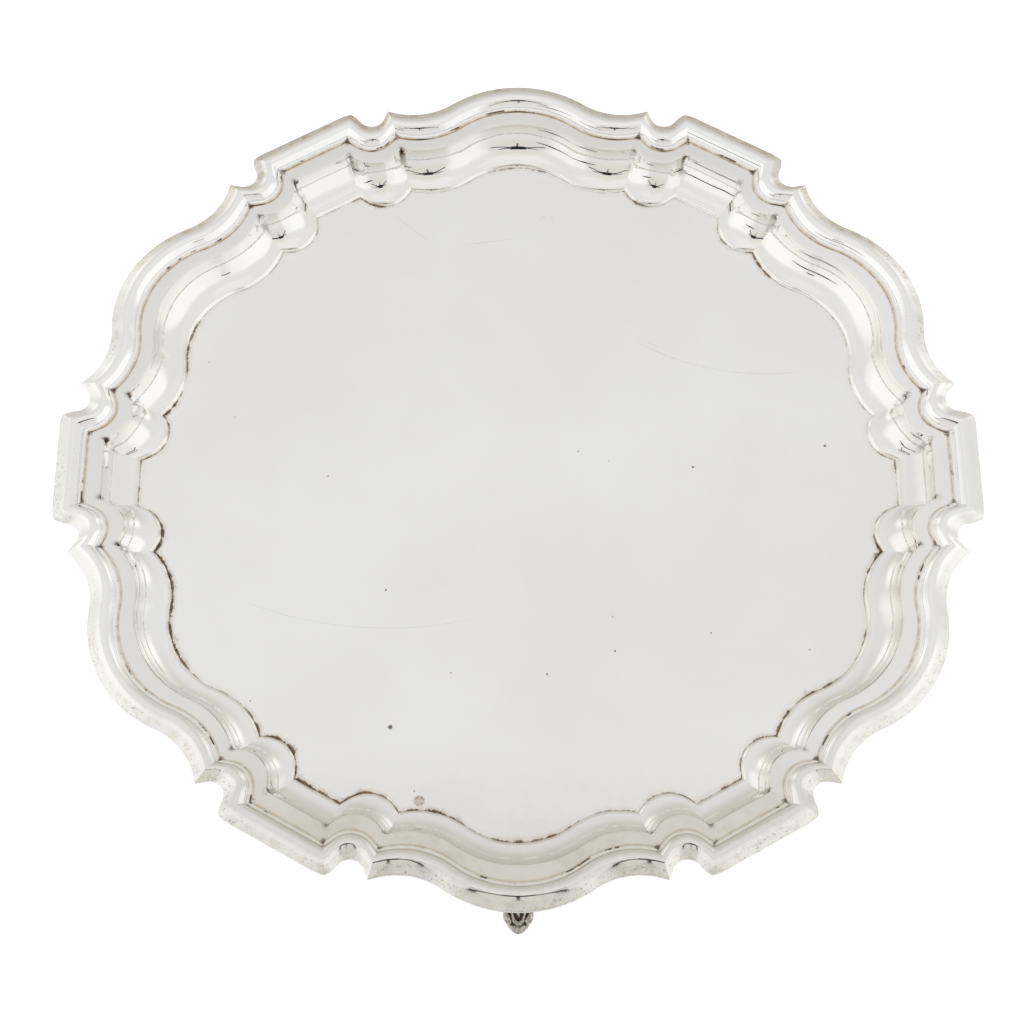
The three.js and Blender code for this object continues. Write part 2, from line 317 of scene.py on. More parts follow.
def mesh_from_rows(name, rows, uvs, corner_runs):
    """A closed mesh through closed rows of points. uvs and corner_runs have a value for each
    point: (along, across) in metres, and metres from the nearest mitre."""
    count, width = rows.shape[:2]
    mesh = bpy.data.meshes.new(name)
    mesh.from_pydata((rows.reshape(-1, 3) * MM).tolist(), [], tube_faces(count, width))
    layer = mesh.uv_layers.new(name="profile")
    flat = uvs.reshape(-1, 2)
    indices = np.zeros(len(mesh.loops), np.int32)
    mesh.loops.foreach_get("vertex_index", indices)
    layer.data.foreach_set("uv", flat[indices].astype(np.float32).ravel())
    runs = mesh.attributes.new("corner_run", "FLOAT", "POINT")
    runs.data.foreach_set("value", corner_runs.reshape(-1).astype(np.float32))
    face_outward(mesh)
    return mesh


SHARP_DEGREES = 24


def shade(mesh):
    mesh.shade_smooth()
    mesh.set_sharp_from_angle(angle=math.radians(SHARP_DEGREES))


def add_piece(name, mesh, materials, nodes):
    piece = bpy.data.objects.new(name, mesh)
    bpy.context.scene.collection.objects.link(piece)
    for material in materials:
        piece.data.materials.append(material)
    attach(piece, "root")
    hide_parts(*nodes)
    return piece


FIELD_RINGS = (0.25, 0.5, 0.75, 0.9, 0.96, 0.985)


def sheet_mesh():
    """The whole raised sheet: field, bead, cove and flange, with its underside."""
    top, below = sheet_profile()
    edge, edge_runs = whole_outline(FIELD_EDGE)
    rows = []
    uvs = []
    runs = []
    along = run_along(edge)

    def add_row(plan, height, across, corner_runs):
        rows.append(np.column_stack([plan, np.full(len(plan), height + FLANGE_TOP)]))
        uvs.append(np.column_stack([along, np.full(len(plan), across)]))
        runs.append(corner_runs)

    for share in FIELD_RINGS:
        add_row(edge * share, FIELD_LEVEL, (share - 1) * FIELD_EDGE, edge_runs + (1 - share) * FIELD_EDGE)
    for across, (distance, height) in zip(run_along(top), top):
        plan, corner_runs = whole_outline(distance)
        add_row(plan, height, across, corner_runs)
    last = run_along(top)[-1]
    for across, (distance, height) in zip(run_along(below), below):
        plan, corner_runs = whole_outline(distance)
        add_row(plan, height, last + SHEET + across, corner_runs)
    for share in FIELD_RINGS[::-1]:
        across = last + SHEET + run_along(below)[-1] + (1 - share) * FIELD_EDGE
        add_row(edge * share, FIELD_LEVEL - SHEET, across, edge_runs)
    mesh = mesh_from_rows("raised_sheet", np.array(rows), np.array(uvs) * MM, np.array(runs) * MM)
    shade(mesh)
    return mesh


# Each sixth's mapping starts this much further on, so that its streaks are its own.
SECTOR_SHIFT = 160


def moulding_mesh(name, stretch, sector):
    """One length of border moulding, mitred at both ends."""
    profile = moulding_profile()
    across = run_along(profile)
    lines = []
    uvs = []
    runs = []
    for distance, height in profile:
        plan = turned(stretches(distance)[stretch], SECTOR_ANGLE * sector)
        along = run_along(plan)
        lines.append(np.column_stack([plan, np.full(len(plan), height + FLANGE_TOP)]))
        uvs.append(along + sector * SECTOR_SHIFT)
        runs.append(np.minimum(along, along[-1] - along))
    rows = np.array(lines).transpose(1, 0, 2)
    uv = np.stack([np.array(uvs).T, np.broadcast_to(across, (rows.shape[0], len(across)))], axis=2)
    mesh = mesh_from_rows(name, rows, uv * MM, np.array(runs).T * MM)
    shade(mesh)
    return mesh


# ---------------------------------------------------------------- the cast feet
# A foot is built in its own frame: x runs outward, y sideways and z up.
FOOT_ANGLES = {"foot_front": 270, "foot_right_rear": 30, "foot_left_rear": 150}
# Stations down the leg: distance out, height, half-width and half-depth.
FOOT_SECTIONS = np.array([
    (119.0, 14.3, 6.2, 1.0), (125.0, 14.0, 7.4, 1.9), (131.0, 13.4, 6.6, 3.0), (136.5, 11.4, 4.9, 3.0),
    (140.6, 8.4, 3.5, 2.6), (143.6, 5.2, 3.3, 2.4), (146.2, 2.9, 3.9, 2.4), (148.6, 2.0, 3.3, 2.1),
    (150.2, 1.7, 2.1, 1.5), (150.9, 1.7, 0.9, 0.8),
])
PLATE_NEAR = 112.0
PLATE_FAR = 126.0
PLATE_HALF = 9.0
PLATE_TOP = 15.4
PLATE_THICK = 1.3
LEG_STEPS = 6
LEG_SIDES = 48
SECTION_POWER = 2.4
VOLUTE_OUT = 145.9
RIDGE_STEPS = 8
VOXEL = 0.27
SOFTENING_ROUNDS = 2


def smooth_path(points, steps):
    """A Catmull-Rom curve through the points, with this many steps between neighbours."""
    points = np.asarray(points, float)
    padded = np.vstack([2 * points[0] - points[1], points, 2 * points[-1] - points[-2]])
    share = np.linspace(0, 1, steps, endpoint=False)[:, None]
    curve = []
    for a, b, c, d in zip(padded, padded[1:], padded[2:], padded[3:]):
        bend = (2 * a - 5 * b + 4 * c - d) * share ** 2 + (3 * b - a - 3 * c + d) * share ** 3
        curve.append(b + ((c - a) * share + bend) / 2)
    return np.vstack([*curve, points[-1:]])


class Solid:
    """Closed shapes gathered into one mesh."""

    def __init__(self):
        self.points = []
        self.faces = []
        self.count = 0

    def add_rows(self, rows):
        """A closed shape through rows of section points, with both ends capped."""
        count, width = rows.shape[:2]
        self.faces.extend(tube_faces(count, width, self.count))
        self.points.append(rows.reshape(-1, 3))
        self.count += count * width

    def add_tube(self, path, radii, sides=12):
        path = np.asarray(path, float)
        radii = np.interp(np.linspace(0, 1, len(path)), np.linspace(0, 1, len(radii)), radii)
        ahead = np.gradient(path, axis=0)
        ahead /= np.linalg.norm(ahead, axis=1)[:, None]
        reference = np.array([0.31, 0.83, 0.46])
        across = np.cross(ahead, reference)
        across /= np.linalg.norm(across, axis=1)[:, None]
        over = np.cross(ahead, across)
        turn = np.linspace(0, 2 * math.pi, sides, endpoint=False)
        ring = np.cos(turn)[None, :, None] * across[:, None] + np.sin(turn)[None, :, None] * over[:, None]
        self.add_rows(path[:, None] + ring * radii[:, None, None])

    def mesh(self, name):
        mesh = bpy.data.meshes.new(name)
        mesh.from_pydata((np.vstack(self.points) * MM).tolist(), [], self.faces)
        face_outward(mesh)
        return mesh


def leg_surface():
    """The leg's section rings, station by station, each running round from its left side."""
    stations = smooth_path(FOOT_SECTIONS, LEG_STEPS)
    ahead = np.gradient(stations[:, :2], axis=0)
    ahead /= np.hypot(*ahead.T)[:, None]
    turn = np.linspace(0, 2 * math.pi, LEG_SIDES, endpoint=False)
    sideways = np.sign(np.cos(turn)) * np.abs(np.cos(turn)) ** (2 / SECTION_POWER)
    upward = np.sign(np.sin(turn)) * np.abs(np.sin(turn)) ** (2 / SECTION_POWER)
    rings = []
    for (out, height, wide, deep), (dx, dz) in zip(stations, ahead):
        lift = upward * deep
        rings.append(np.column_stack([out - dz * lift, sideways * wide, height + dx * lift]))
    return np.array(rings)


def on_leg(rings, shares, angles):
    """A path over the leg's skin: shares run down it, angles round it (90 is its outer middle)."""
    count, width = rings.shape[:2]
    rows = np.clip(np.asarray(shares) * (count - 1), 0, count - 1.001)
    columns = (np.asarray(angles) / 360 * width) % width
    path = []
    for row, column in zip(rows, columns):
        r = int(row)
        c = int(column)
        line = rings[:, c] + (rings[:, (c + 1) % width] - rings[:, c]) * (column - c)
        path.append(line[r] + (line[r + 1] - line[r]) * (row - r))
    return np.array(path)


def add_fixing_plate(solid):
    """The flat leaf of metal that the foot is soldered on by, with a scalloped outline."""
    turn = np.linspace(0, 2 * math.pi, 96, endpoint=False)
    scallop = 1 - 0.07 * np.abs(np.sin(3.5 * turn))
    middle = (PLATE_NEAR + PLATE_FAR) / 2
    out = middle + np.cos(turn) * scallop * (PLATE_FAR - PLATE_NEAR) / 2
    side = np.sin(turn) * scallop * PLATE_HALF
    rows = []
    for depth, inset in ((0, 1.0), (0.6, 1.0), (1, 0.95)):
        height = np.full(len(turn), PLATE_TOP - PLATE_THICK * depth)
        rows.append(np.column_stack([middle + (out - middle) * inset, side * inset, height]))
    solid.add_rows(np.array(rows))


def add_leaf(solid, rings):
    """The acanthus leaf cast over the knee: a midrib, curling side veins and rolled edges."""
    down = np.linspace(0, 1, 30)
    solid.add_tube(on_leg(rings, 0.08 + 0.52 * down, 90 + 0 * down), (0.55, 0.5, 0.3))
    for start, reach in ((0.10, 46), (0.19, 52), (0.29, 54), (0.39, 50)):
        for way in (1, -1):
            vein = on_leg(rings, start + 0.12 * np.sin(down * math.pi / 2) * (1 - 0.45 * down),
                          90 + way * reach * down)
            solid.add_tube(vein, (0.3, 0.6, 0.75, 0.45))
    for angle in (14, 166):
        solid.add_tube(on_leg(rings, 0.12 + 0.62 * down, angle + 0 * down), (0.5, 0.7, 0.5))


def add_scroll_toe(solid, rings):
    """The scrolled toe: side volutes, the horseshoe ridge on top and the small pad below."""
    coil = np.linspace(0, 1, 40)
    turn = math.radians(110) - coil * math.radians(520)
    size = 2.75 * (1 - 0.78 * coil)
    for way in (1, -1):
        out = VOLUTE_OUT + size * np.cos(turn)
        taper = np.where(out > VOLUTE_OUT, 0.52 * (out - VOLUTE_OUT), 0.25 * (VOLUTE_OUT - out))
        volute = np.column_stack([out, way * (3.95 + 0.3 * coil - taper), 3.6 + size * np.sin(turn)])
        solid.add_tube(volute, (0.75, 0.8, 0.6))
    horseshoe = [(143.6, -2.1, 7.7), (145.6, -2.1, 5.9), (147.5, -1.55, 4.85), (148.55, 0, 4.35),
                 (147.5, 1.55, 4.85), (145.6, 2.1, 5.9), (143.6, 2.1, 7.7)]
    solid.add_tube(smooth_path(horseshoe, RIDGE_STEPS), (0.5, 0.65, 0.7, 0.65, 0.5))
    ridge = np.array([(140.6, 2.75, 10.6), (143.6, 2.95, 7.2), (146.0, 3.1, 5.2), (148.2, 2.6, 3.8)])
    for way in (1, -1):
        solid.add_tube(smooth_path(ridge * (1, way, 1), RIDGE_STEPS), (0.3, 0.38, 0.3))
    rim = [(146.8, -3.4, 2.2), (148.7, -2.35, 1.8), (150.0, -0.95, 1.6), (150.25, 0, 1.55),
           (150.0, 0.95, 1.6), (148.7, 2.35, 1.8), (146.8, 3.4, 2.2)]
    solid.add_tube(smooth_path(rim, RIDGE_STEPS), (0.8, 0.95, 0.8))


def melted(mesh):
    """The mesh after a voxel remesh and a light smoothing."""
    carrier = bpy.data.objects.new("casting", mesh)
    bpy.context.scene.collection.objects.link(carrier)
    remesh = carrier.modifiers.new("melt", "REMESH")
    remesh.mode = "VOXEL"
    remesh.voxel_size = VOXEL * MM
    soften = carrier.modifiers.new("soften", "SMOOTH")
    soften.factor = 0.5
    soften.iterations = SOFTENING_ROUNDS
    bpy.context.view_layer.update()
    evaluated = carrier.evaluated_get(bpy.context.evaluated_depsgraph_get())
    result = bpy.data.meshes.new_from_object(evaluated)
    bpy.data.objects.remove(carrier)
    return result


AVERAGING_ROUNDS = 9
FULL_RECESS = 0.35


def store_recess(mesh):
    """Stores how hollow the surface is at each point: 0 on ridges, 1 deep in a groove."""
    count = len(mesh.vertices)
    places = np.zeros((count, 3))
    mesh.vertices.foreach_get("co", places.ravel())
    normals = np.zeros((count, 3))
    mesh.vertices.foreach_get("normal", normals.ravel())
    edges = np.zeros(len(mesh.edges) * 2, np.int32)
    mesh.edges.foreach_get("vertices", edges)
    first, second = edges.reshape(-1, 2).T
    valence = np.bincount(edges, minlength=count)

    def neighbour_mean(values):
        total = np.zeros_like(values)
        np.add.at(total, first, values[second])
        np.add.at(total, second, values[first])
        return total / valence.reshape(-1, *[1] * (values.ndim - 1))

    average = places
    for _ in range(AVERAGING_ROUNDS):
        average = neighbour_mean(average)
    depth = ((average - places) * normals).sum(axis=1) / MM
    recess = np.clip(0.5 + depth / FULL_RECESS, 0, 1)
    layer = mesh.attributes.new("recess", "FLOAT", "POINT")
    layer.data.foreach_set("value", recess.astype(np.float32))


def foot_mesh():
    """One cast foot, in its own frame and cut flat where it stands."""
    rings = leg_surface()
    solid = Solid()
    solid.add_rows(rings)
    add_fixing_plate(solid)
    add_leaf(solid, rings)
    add_scroll_toe(solid, rings)
    mesh = melted(solid.mesh("foot_rough"))
    for vertex in mesh.vertices:
        vertex.co.z = max(vertex.co.z, 0)
    store_recess(mesh)
    mesh.shade_smooth()
    return mesh


# ---------------------------------------------------------------- materials
# The metal and what lies on it: black and rusty tarnish, brown dirt and a thin sallow film. BROWN and
# SALLOW also colour painted shade.
SILVER = (0.93, 0.925, 0.90)
TARNISH = (0.085, 0.062, 0.045)
BROWN = (0.56, 0.46, 0.31)
RUST = (0.20, 0.13, 0.08)
STAIN_BROWN = (0.30, 0.22, 0.15)
WORN_RIDGE = (0.60, 0.58, 0.51)
GREY_RIDGE = (0.26, 0.23, 0.19)
PATINA = (0.06, 0.047, 0.038)
SALLOW = (0.66, 0.62, 0.53)


class Nodes:
    """Short calls for building a node tree."""

    def __init__(self, tree):
        self.tree = tree
        self.tree.nodes.clear()

    def add(self, kind, **settings):
        node = self.tree.nodes.new(kind)
        for name, value in settings.items():
            setattr(node, name, value)
        return node

    def put(self, socket, value):
        if isinstance(value, bpy.types.NodeSocket):
            self.tree.links.new(value, socket)
        else:
            socket.default_value = value

    def math(self, operation, *values, clamp=False):
        node = self.add("ShaderNodeMath", operation=operation, use_clamp=clamp)
        for socket, value in zip(node.inputs, values):
            self.put(socket, value)
        return node.outputs[0]

    def product(self, *values):
        result = values[0]
        for value in values[1:]:
            result = self.math("MULTIPLY", result, value)
        return result

    def total(self, *values):
        result = values[0]
        for value in values[1:]:
            result = self.math("ADD", result, value)
        return result

    def most(self, *values):
        result = values[0]
        for value in values[1:]:
            result = self.math("MAXIMUM", result, value)
        return result

    def ramp(self, value, low, high, start=0.0, end=1.0):
        """A smooth step from start at low to end at high."""
        node = self.add("ShaderNodeMapRange", interpolation_type="SMOOTHSTEP")
        for socket, number in zip(node.inputs, (value, low, high, start, end)):
            self.put(socket, number)
        return node.outputs[0]

    def near(self, value, centre, width):
        """1 where value is at centre, falling to 0 at width away."""
        return self.ramp(self.math("ABSOLUTE", self.math("SUBTRACT", value, centre)), width, 0.0)

    def noise(self, vector, scale, detail=3.0, roughness=0.55):
        node = self.add("ShaderNodeTexNoise")
        self.put(node.inputs["Vector"], vector)
        self.put(node.inputs["Scale"], scale)
        self.put(node.inputs["Detail"], detail)
        self.put(node.inputs["Roughness"], roughness)
        return node.outputs["Fac"]

    def mapped(self, vector, scale=(1, 1, 1), turn=0.0):
        node = self.add("ShaderNodeMapping")
        self.put(node.inputs["Vector"], vector)
        self.put(node.inputs["Scale"], scale)
        self.put(node.inputs["Rotation"], (0, 0, math.radians(turn)))
        return node.outputs[0]

    def cells(self, vector, scale):
        """Voronoi cells: the distance to each cell's point, and a random number per cell."""
        node = self.add("ShaderNodeTexVoronoi")
        self.put(node.inputs["Vector"], vector)
        self.put(node.inputs["Scale"], scale)
        return node.outputs["Distance"], self.parts(node.outputs["Color"])[0]

    def parts(self, vector):
        node = self.add("ShaderNodeSeparateXYZ")
        self.put(node.inputs[0], vector)
        return node.outputs

    def vector(self, operation, first, second=None, result=0):
        node = self.add("ShaderNodeVectorMath", operation=operation)
        self.put(node.inputs[0], first)
        if second is not None:
            self.put(node.inputs[1], second)
        return node.outputs[result]

    def mix(self, share, first, second):
        node = self.add("ShaderNodeMix", data_type="RGBA")
        self.put(node.inputs[0], share)
        for socket, value in ((node.inputs[6], first), (node.inputs[7], second)):
            self.put(socket, (*value, 1.0) if isinstance(value, tuple) else value)
        return node.outputs[2]

    def place(self):
        return self.add("ShaderNodeTexCoord").outputs["Object"]

    def across(self):
        """How far over the profile a point lies, in metres, and the UV vector itself."""
        uv = self.add("ShaderNodeUVMap", uv_map="profile").outputs[0]
        return self.parts(uv)[1], uv

    def wear_noises(self, place):
        """The noises that most wear is drawn from: fine, medium, patches of some centimetres,
        and a grain that mixes the first two."""
        fine = self.noise(place, 1300.0, 4.0, 0.65)
        medium = self.noise(place, 330.0, 3.0)
        patches = self.noise(place, 38.0, 3.0)
        return fine, medium, patches, self.total(self.product(medium, 0.65), self.product(fine, 0.35))

    def stored(self, name):
        return self.add("ShaderNodeAttribute", attribute_name=name).outputs["Fac"]

    def metal(self, colour, roughness, height, depth):
        """A bare metal surface, with a bump whose full height is depth metres."""
        shader = self.add("ShaderNodeBsdfPrincipled")
        self.put(shader.inputs["Metallic"], 1.0)
        self.put(shader.inputs["Base Color"], colour)
        self.put(shader.inputs["Roughness"], roughness)
        bump = self.add("ShaderNodeBump")
        self.put(bump.inputs["Distance"], depth)
        self.put(bump.inputs["Height"], height)
        self.put(shader.inputs["Normal"], bump.outputs[0])
        output = self.add("ShaderNodeOutputMaterial")
        self.put(output.inputs["Surface"], shader.outputs[0])


def new_material(name):
    material = bpy.data.materials.new(name)
    material.use_nodes = True
    return material, Nodes(material.node_tree)


# Marks of use on the field, in millimetres from the salver's middle. A pit is (x, y, radius), a
# straight scratch is (start, end, width) and an arc one is (start, middle, end, width).
PITS = ((-40.8, -87.7, 0.85), (-43.2, -39.5, 0.4), (58.6, 6.0, 0.45), (103.2, 14.0, 0.42),
        (9.3, -69.4, 0.35), (62.5, -54.9, 0.35), (31.3, -61.3, 0.3))
STAIN = (-31.2, -112.7)
STRAIGHT_SCRATCHES = (((-46.0, 108.6), (-27.5, 92.5), 0.10), ((-23.0, 93.3), (3.4, 97.4), 0.10),
                      ((6.5, 103.0), (11.0, 107.5), 0.12), ((11.0, 107.5), (13.5, 101.0), 0.10),
                      ((40.0, 56.5), (52.0, 51.0), 0.07))
ARC_SCRATCHES = (((-92.4, -42.4), (-51.3, -52.8), (-9.2, -48.5), 0.11),
                 ((39.5, 55.4), (68.0, 43.7), (110.9, 46.2), 0.22))


def circle_through(first, middle, last):
    """The centre and radius of the circle through three plan points."""
    (ax, ay), (bx, by), (cx, cy) = first, middle, last
    scale = 2 * (ax * (by - cy) + bx * (cy - ay) + cx * (ay - by))
    a, b, c = (x * x + y * y for x, y in (first, middle, last))
    x = (a * (by - cy) + b * (cy - ay) + c * (ay - by)) / scale
    y = (a * (cx - bx) + b * (ax - cx) + c * (bx - ax)) / scale
    return (x, y), math.hypot(ax - x, ay - y)


def straight_scratch(n, place, start, end, width):
    start = np.array(start) * MM
    end = np.array(end) * MM
    length = float(np.hypot(*(end - start)))
    ux, uy = (end - start) / length
    offset = n.vector("SUBTRACT", place, (start[0], start[1], 0))
    along = n.vector("DOT_PRODUCT", offset, (ux, uy, 0), result=1)
    aside = n.vector("DOT_PRODUCT", offset, (-uy, ux, 0), result=1)
    return n.product(n.near(aside, 0.0, width * MM), n.near(along, length / 2, length / 2))


def arc_scratch(n, place, first, middle, last, width):
    (cx, cy), radius = circle_through(first, middle, last)
    flat = n.vector("MULTIPLY", place, (1, 1, 0))
    from_centre = n.vector("DISTANCE", flat, (cx * MM, cy * MM, 0), result=1)
    from_middle = n.vector("DISTANCE", flat, (middle[0] * MM, middle[1] * MM, 0), result=1)
    reach = math.dist(first, middle) * MM
    on_arc = n.near(from_centre, radius * MM, width * MM)
    return n.product(on_arc, n.ramp(from_middle, reach, reach * 0.8))


def field_marks(n, place, fine):
    """Two masks, 1 on a mark and 0 off it: pits with long and short scratches, and one stain."""
    flat = n.vector("MULTIPLY", place, (1, 1, 0))
    ragged = n.math("MULTIPLY", n.math("SUBTRACT", fine, 0.5), 0.0009)
    marks = []
    for x, y, radius in PITS:
        away = n.math("ADD", n.vector("DISTANCE", flat, (x * MM, y * MM, 0), result=1), ragged)
        marks.append(n.ramp(away, radius * MM * 1.2, radius * MM * 0.6, 0.0, 0.85))
    x, y = STAIN
    away = n.vector("DISTANCE", flat, (x * MM, y * MM, 0), result=1)
    away = n.math("ADD", away, n.product(ragged, 2.2))
    clotted = n.ramp(n.noise(place, 900.0, 2.0), 0.40, 0.56, 0.15, 0.85)
    ring = n.product(n.near(away, 0.0012, 0.0009), clotted)
    stain = n.most(ring, n.ramp(away, 0.0021, 0.0014, 0.0, 0.45))
    broken = n.ramp(n.noise(place, 500.0, 2.0), 0.35, 0.6, 0.25, 1.0)
    for start, end, width in STRAIGHT_SCRATCHES:
        marks.append(n.product(straight_scratch(n, place, start, end, width), broken, 0.5))
    for first, middle, last, width in ARC_SCRATCHES:
        marks.append(n.product(arc_scratch(n, place, first, middle, last, width), broken, 0.22))
    distance, chance = n.cells(flat, 95.0)
    marks.append(n.product(n.ramp(distance, 0.045, 0.02), n.ramp(chance, 0.80, 0.84), 0.55))
    return n.most(*marks), stain


def bead_tarnish(n, across, noises, heavy):
    """Tarnish in the crease round the field: a broken line with a smear, and a brown halo."""
    fine, medium, _, grain = noises
    wander = n.product(n.math("SUBTRACT", grain, 0.5), 0.0007)
    away = n.math("ABSOLUTE", n.math("ADD", across, wander))
    wide = n.ramp(heavy, 0.1, 1.5, 0.00018, 0.00070)
    reach = n.product(wide, n.ramp(medium, 0.35, 0.65, 0.5, 1.4))
    line = n.ramp(n.math("DIVIDE", away, reach), 1.25, 0.6)
    speckle = n.total(n.product(medium, 0.5), n.product(fine, 0.5), n.product(heavy, 0.10))
    broken = n.ramp(speckle, 0.47, 0.62, 0.22, 1.0)
    line = n.product(line, broken, n.ramp(heavy, 0.0, 1.0, 0.40, 0.92))

    smear_reach = n.ramp(n.math("ABSOLUTE", n.math("ADD", across, 0.0007)), 0.0026, 0.0004)
    smear = n.product(smear_reach, n.ramp(grain, 0.55, 0.63), n.ramp(heavy, 0.7, 1.3), 0.65)
    halo = n.product(n.near(across, 0.0, 0.0024), n.ramp(heavy, 0.2, 1.2, 0.12, 0.80),
                     n.ramp(medium, 0.35, 0.62, 0.35, 1.0))
    return n.most(line, smear), halo


def mitre_tarnish(n, across, corner, noises, dirtier):
    """Tarnish in the cove's mitres and in the corners under the moulding's foot."""
    grain = noises[3]
    reach = n.ramp(corner, 0.0021, 0.0005)
    mitre = n.product(reach, n.ramp(grain, 0.42, 0.54), n.ramp(dirtier, 0.0, 0.9, 0.30, 0.88))
    upper_end = n.near(across, (ARRIS_ACROSS - 0.9) * MM, 0.0030)
    whole = n.product(n.near(across, (ARRIS_ACROSS - 4.0) * MM, 0.0070), 0.6)
    in_cove = n.product(n.total(upper_end, whole), mitre)
    from_crease = n.math("ABSOLUTE", n.math("SUBTRACT", across, CREASE_ACROSS * MM))
    in_corner = n.ramp(n.math("ADD", corner, from_crease), 0.0019, 0.0006)
    return n.most(in_cove, n.product(in_corner, n.ramp(grain, 0.42, 0.54), 0.8))


def flange_dirt_and_arris_shade(n, across, noises, nearer):
    """Brown grime along the moulding's foot, and a little brown painted shade along the cove's arris at
    the front.
    """
    grain = noises[3]
    crease = n.near(across, CREASE_ACROSS * MM, 0.0009)
    crease = n.product(crease, n.ramp(grain, 0.36, 0.60, 0.35, 0.85))
    # Painted shade: a little brown just inside the cove's arris, towards the front, for the dark band
    # that the cove's steep top mirrors.
    arris = n.near(across, (ARRIS_ACROSS - 1.2) * MM, 0.0022)
    return n.most(crease, n.product(arris, n.ramp(grain, 0.42, 0.66, 0.1, 0.40), nearer))


def sheet_film_and_shade(n, x, y, across, noises):
    """How sallow the sheet is: most at the front, less at the back, and more on the flange. The tint at
    the front and back is painted shade.
    """
    patches, grain = noises[2:]
    # Painted shade: the near and far sides are tinted darker, standing for the dimmer surroundings that
    # they mirror.
    front = n.ramp(y, -0.085, -0.135)
    back = n.ramp(y, 0.09, 0.135, 0.0, 0.25)
    uneven = n.ramp(n.total(n.product(patches, 0.6), n.product(grain, 0.4)), 0.38, 0.62, 0.6, 1.0)
    on_flange = n.ramp(across, (ARRIS_ACROSS - 1.5) * MM, (ARRIS_ACROSS + 0.3) * MM)
    rightward = n.ramp(x, 0.05, 0.13)
    flange_film = n.product(on_flange, n.math("SUBTRACT", 0.28, n.product(rightward, 0.26)))
    film_and_shade = n.product(n.most(front, back), uneven, n.ramp(on_flange, 0.0, 1.0, 0.40, 1.0))
    return n.most(film_and_shade, n.total(flange_film, n.product(film_and_shade, 0.6)))


def sheet_material():
    """Hand-polished sheet: worn and faintly clouded, with tarnish left in its creases, and with painted
    shade at its front and back and along the cove's arris at the front.
    """
    material, n = new_material("polished_sheet")
    place = n.place()
    x, y, _ = n.parts(place)
    across, _ = n.across()
    corner = n.stored("corner_run")
    noises = n.wear_noises(place)
    fine, _, patches, _ = noises
    in_field = n.ramp(across, 0.0, -0.0004)

    # The dirt is heavier nearer the front, to the left, on the bars and at their ends.
    nearer = n.ramp(y, 0.08, -0.07)
    leftward = n.ramp(x, 0.03, -0.09, 0.0, 0.12)
    heavy = n.total(n.ramp(patches, 0.44, 0.62, -0.25, 0.55), n.product(nearer, 0.50), leftward,
                    n.ramp(corner, 0.016, 0.005, 0.0, 0.35))
    dirtier = n.total(n.ramp(patches, 0.40, 0.56), nearer, n.product(leftward, 4.0))
    at_bead, halo = bead_tarnish(n, across, noises, heavy)
    at_mitres = mitre_tarnish(n, across, corner, noises, dirtier)
    # Brown dirt in the moulding's foot crease, and brown painted shade along the cove's arris at the
    # front.
    dirt_and_arris_shade = flange_dirt_and_arris_shade(n, across, noises, nearer)
    marks, stain = field_marks(n, place, fine)
    dark = n.most(at_bead, at_mitres, n.product(marks, in_field))

    clouds = n.ramp(n.noise(place, 11.0, 5.0, 0.6), 0.35, 0.75, 0.0, 0.18)
    specks = n.product(n.ramp(fine, 0.66, 0.80), n.ramp(patches, 0.45, 0.65), 0.25)
    # The sallow film: real clouding and specks, and painted shade at the front and back.
    film_and_shade = n.most(clouds, specks, sheet_film_and_shade(n, x, y, across, noises))
    rusty = n.mix(n.ramp(n.noise(place, 520.0, 2.0), 0.42, 0.60), RUST, TARNISH)
    colour = n.mix(film_and_shade, SILVER, SALLOW)
    colour = n.mix(n.most(dirt_and_arris_shade, halo), colour, BROWN)
    colour = n.mix(stain, colour, STAIN_BROWN)
    colour = n.mix(dark, colour, rusty)

    polish_one = n.noise(n.mapped(place, (2600, 60, 60), 35), 1.0, 2.0)
    polish_two = n.noise(n.mapped(place, (60, 2200, 60), 12), 1.0, 2.0)
    worn = n.product(n.total(polish_one, polish_two), in_field)
    dulled = n.ramp(fine, 0.3, 0.8, 0.045, 0.075)
    roughness = n.total(n.product(dark, 0.4), dulled, n.product(worn, 0.06))
    hammered = n.product(n.noise(place, 75.0, 2.0), n.ramp(across, -0.004, 0.002, 0.1, 2.6))
    height = n.total(hammered, n.noise(place, 30.0, 2.0), n.product(worn, 0.004), n.product(dark, -0.3))
    n.metal(colour, roughness, height, 0.00007)
    return material


